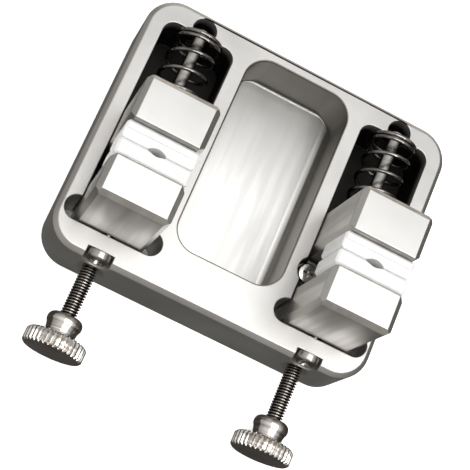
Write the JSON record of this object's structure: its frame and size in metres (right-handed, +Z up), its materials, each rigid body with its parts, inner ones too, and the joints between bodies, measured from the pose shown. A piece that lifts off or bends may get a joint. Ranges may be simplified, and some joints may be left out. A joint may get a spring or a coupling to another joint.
{
  "type": "watch movement holder",
  "caption": "Bench holder with a machined base, a central parts tray and a sprung, padded two-jaw clamp on each side, each opened by a knurled thumb screw.",
  "frame": {"origin": "middle of the base's underside", "axes": "+Z up, +X towards the right clamp, -Y towards the thumb screws"},
  "size_m": [0.082, 0.0907, 0.043],
  "materials": {
    "base_aluminium": "satin, fine bead-blasted, milled tray floor",
    "jaw_aluminium": "satin, fine bead-blasted",
    "pad_plastic": "white acetal, machined, slightly glossy",
    "spring_steel": "dark polished spring wire",
    "rod_steel": "ground, bright",
    "screw_nickel": "bright nickel plate with turned and knurled surfaces",
    "screw_steel": "bright stainless"
  },
  "bodies": {
    "base": {"base_plate": "base_aluminium", "left_front_jaw": "jaw_aluminium", "left_front_pad": "pad_plastic", "left_spring": "spring_steel", "left_guide_rod": "rod_steel", "left_hold_down_washer": "screw_steel", "left_hold_down_screw": "screw_steel", "left_inner_jaw_bolt": "screw_steel", "left_outer_jaw_bolt": "screw_steel", "right_front_jaw": "jaw_aluminium", "right_front_pad": "pad_plastic", "right_spring": "spring_steel", "right_guide_rod": "rod_steel", "right_hold_down_washer": "screw_steel", "right_hold_down_screw": "screw_steel", "right_inner_jaw_bolt": "screw_steel", "right_outer_jaw_bolt": "screw_steel"},
    "left_rear_jaw": {"left_rear_jaw": "jaw_aluminium", "left_rear_pad": "pad_plastic"},
    "right_rear_jaw": {"right_rear_jaw": "jaw_aluminium", "right_rear_pad": "pad_plastic"},
    "left_thumb_screw": {"left_thumb_screw": "screw_nickel"},
    "right_thumb_screw": {"right_thumb_screw": "screw_nickel"}
  },
  "joints": [
    {"name": "left_jaw_slide", "type": "slide", "parent": "base", "child": "left_rear_jaw", "axis": [0, 1, 0], "range_m": [0, 0.01085], "deforming": ["left_spring"]},
    {"name": "left_screw_turn", "type": "hinge", "parent": "left_rear_jaw", "child": "left_thumb_screw", "pos_m": [-0.0271, -0.05, 0.009], "axis": [0, 1, 0], "range_deg": [0, 5580]},
    {"name": "right_jaw_slide", "type": "slide", "parent": "base", "child": "right_rear_jaw", "axis": [0, 1, 0], "range_m": [0, 0.01085], "deforming": ["right_spring"]},
    {"name": "right_screw_turn", "type": "hinge", "parent": "right_rear_jaw", "child": "right_thumb_screw", "pos_m": [0.0271, -0.05, 0.009], "axis": [0, 1, 0], "range_deg": [0, 5580]}
  ],
  "couplings": [
    {"joint": "left_screw_turn", "follows": "left_jaw_slide", "rad_per_m": 8976},
    {"joint": "right_screw_turn", "follows": "right_jaw_slide", "rad_per_m": 8976}
  ]
}
